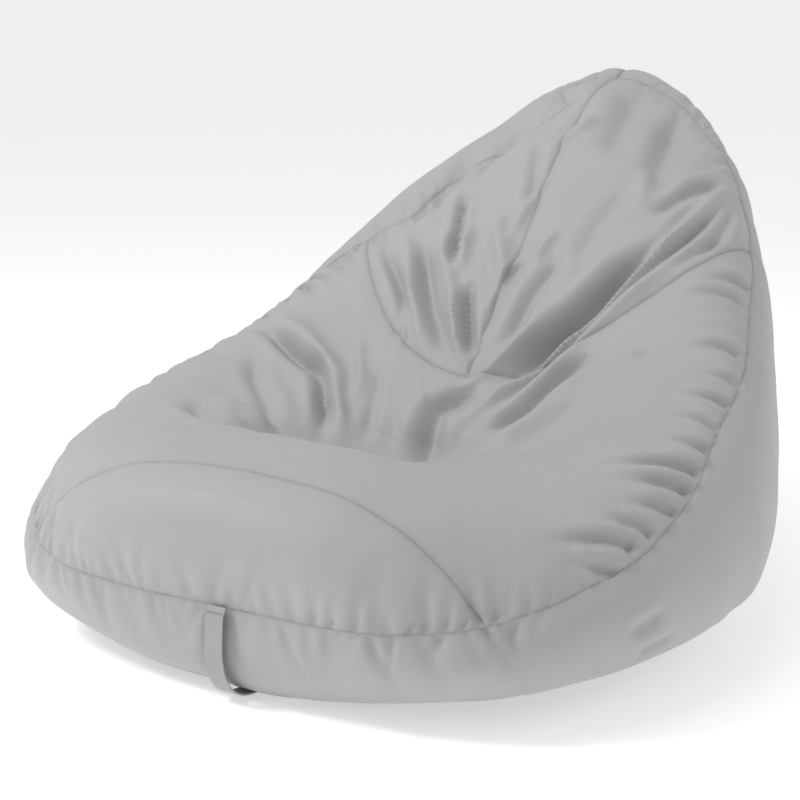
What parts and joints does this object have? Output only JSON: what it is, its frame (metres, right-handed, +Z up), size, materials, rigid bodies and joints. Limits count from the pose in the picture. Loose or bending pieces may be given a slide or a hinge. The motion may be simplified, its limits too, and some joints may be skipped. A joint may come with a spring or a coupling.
{
  "type": "bean bag chair",
  "caption": "Low bean bag lounge chair with a sewn nylon cover, a high leaning back, a hollowed seat, a front carry strap and a zip in the back.",
  "frame": {"origin": "on the floor under the middle of the bag's outer box", "axes": "+Z up, the sitter faces -Y, +X is the chair's right seen from the front"},
  "size_m": [0.9443, 1.012, 0.67],
  "materials": {
    "cover_fabric": "tight plain-weave nylon with a soft satin sheen",
    "strap_fabric": "folded strip of the cover's nylon",
    "sewing_thread": "polyester thread",
    "zip_tape": "herringbone tape",
    "zip_coil": "moulded nylon coil",
    "zip_metal": "satin grey lacquer",
    "label_cloth": "smooth white tape",
    "liner_fabric": "thin white polyester",
    "closing_strip": "white hook-and-loop strip",
    "foam_beads": "white expanded foam beads"
  },
  "bodies": {
    "bag": {"front_panel": "cover_fabric", "seat_panel": "cover_fabric", "backrest_panel_left": "cover_fabric", "backrest_panel_right": "cover_fabric", "side_panel_left": "cover_fabric", "side_panel_right": "cover_fabric", "base_panel": "cover_fabric", "strap_upper_end": "strap_fabric", "strap_lower_end": "strap_fabric", "strap_bar_tack": "sewing_thread", "zip_tape_left": "zip_tape", "zip_tape_right": "zip_tape", "zip_coil_left": "zip_coil", "zip_coil_right": "zip_coil", "zip_top_stop": "zip_metal", "zip_bottom_stop": "zip_metal", "care_label": "label_cloth", "liner_left": "liner_fabric", "liner_right": "liner_fabric", "liner_closing_strip": "closing_strip", "bead_filling": "foam_beads"},
    "carry_strap": {"strap_grip": "strap_fabric"},
    "zip_slider": {"zip_slider": "zip_metal"},
    "zip_pull": {"zip_pull": "zip_metal"}
  },
  "joints": [
    {"name": "strap_lift", "type": "slide", "parent": "bag", "child": "carry_strap", "axis": [0, -1, 0], "range_m": [0, 0.012]},
    {"name": "zip_travel", "type": "slide", "parent": "bag", "child": "zip_slider", "axis": [0, 0.1149, 0.9934], "range_m": [0, 0.3374]},
    {"name": "pull_swing", "type": "hinge", "parent": "zip_slider", "child": "zip_pull", "pos_m": [0, 0.44083, 0.08731], "axis": [1, 0, 0], "range_deg": [0, 160]}
  ]
}
